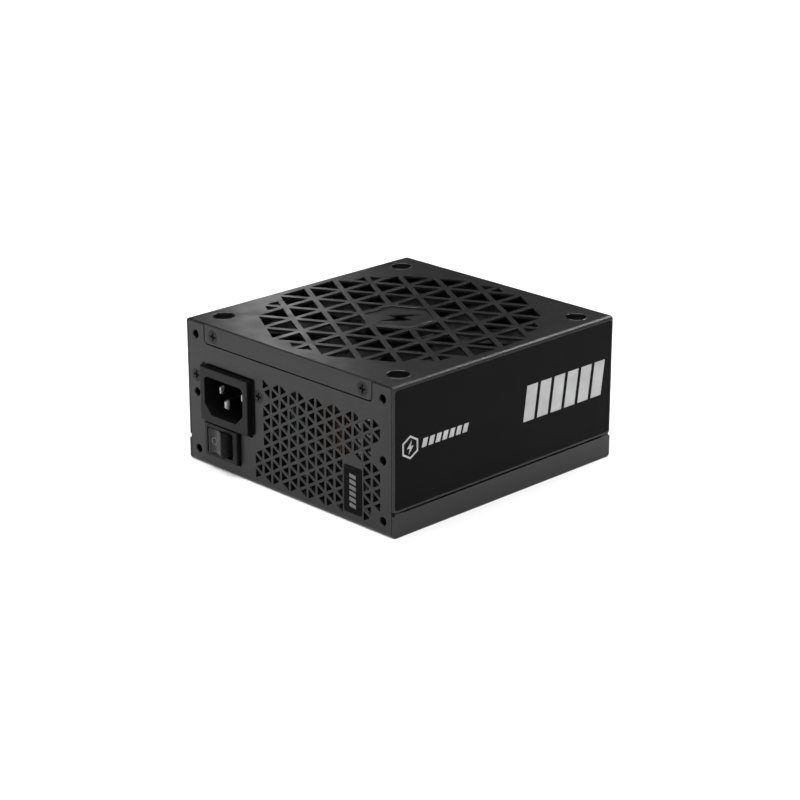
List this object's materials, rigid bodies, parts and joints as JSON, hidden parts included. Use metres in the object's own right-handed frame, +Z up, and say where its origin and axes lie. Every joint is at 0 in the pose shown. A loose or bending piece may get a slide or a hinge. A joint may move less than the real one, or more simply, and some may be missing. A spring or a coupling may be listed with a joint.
{
  "type": "computer power supply unit",
  "caption": "Compact computer power supply in a black sheet-metal case with a lattice fan grille on top, mains inlet and rocker switch at the rear, and sockets at the front.",
  "frame": {"origin": "middle of the case, on the plane of its bottom face", "axes": "+X to the right across the rear panel seen from inside the case, +Y from the rear (mains) panel to the front (socket) panel, +Z up towards the fan grille"},
  "size_m": [0.125, 0.1356, 0.0635],
  "materials": {
    "steel": "machined",
    "ferrite": "sintered ferrite",
    "capacitor_sleeve": "shrink sleeve",
    "circuit_board": "solder mask",
    "nickel": "bright nickel plate",
    "green_wire": "PVC",
    "copper": "enamelled copper",
    "bronze": "sintered bronze",
    "fan_plastic": "moulded, fine grain",
    "black_wire": "PVC",
    "case_screw": "black oxide",
    "inlet_plastic": "moulded nylon",
    "insulation": "translucent film",
    "brown_wire": "PVC",
    "case_metal": "fine textured black powder coat",
    "blue_wire": "PVC",
    "aluminium": "extruded",
    "rating_film": "matt printed film",
    "label_film": "satin printed film",
    "socket_plastic": "moulded nylon",
    "rocker_plastic": "semi-gloss moulded",
    "yellow_box": "moulded"
  },
  "bodies": {
    "root": {"board_screws": "steel", "board_standoffs": "steel", "bridge_rectifier": "ferrite", "bulk_capacitors": "capacitor_sleeve", "control_board": "circuit_board", "earth_lug": "nickel", "earth_screw": "steel", "earth_wire": "green_wire", "emi_choke_core": "ferrite", "emi_choke_windings": "copper", "fan_bearing": "bronze", "fan_circuit_board": "circuit_board", "fan_coils": "copper", "fan_frame": "fan_plastic", "fan_lead": "black_wire", "fan_screws": "case_screw", "fan_stator_core": "steel", "front_flap_screws": "case_screw", "inlet_housing": "inlet_plastic", "inlet_pin_earth": "nickel", "inlet_pin_line": "nickel", "inlet_pin_neutral": "nickel", "inlet_screws": "case_screw", "insulating_sheet": "insulation", "line_wire": "brown_wire", "lower_chassis": "case_metal", "main_board": "circuit_board", "modular_board": "circuit_board", "neutral_wire": "blue_wire", "output_busbars": "copper", "output_capacitors": "capacitor_sleeve", "output_choke_core": "ferrite", "output_choke_winding": "copper", "pfc_choke_core": "ferrite", "pfc_choke_winding": "copper", "primary_heatsink": "aluminium", "rating_label": "rating_film", "rear_flap_screws": "case_screw", "rear_name_plate": "label_film", "secondary_heatsink": "aluminium", "side_label_left": "label_film", "side_label_right": "label_film", "socket_24_pin": "socket_plastic", "socket_pins": "nickel", "sockets_6_pin": "socket_plastic", "sockets_8_pin": "socket_plastic", "switch_housing": "inlet_plastic", "switch_terminals": "nickel", "switch_wire": "brown_wire", "top_cover": "case_metal", "transformer_core": "ferrite", "transformer_winding": "yellow_box", "x_capacitor": "yellow_box"},
    "fan": {"fan_impeller": "fan_plastic", "fan_yoke": "steel", "fan_magnet_ring": "ferrite", "fan_shaft": "steel", "fan_clip": "steel"},
    "rocker": {"switch_rocker": "rocker_plastic"}
  },
  "joints": [
    {"name": "fan_spin", "type": "hinge", "parent": "root", "child": "fan", "pos_m": [0, 0, 0.055], "axis": [0, 0, 1], "continuous": true},
    {"name": "switch_rock", "type": "hinge", "parent": "root", "child": "rocker", "pos_m": [-0.0402, -0.0619, 0.0131], "axis": [0, 0, 1], "range_deg": [0, 26]}
  ]
}
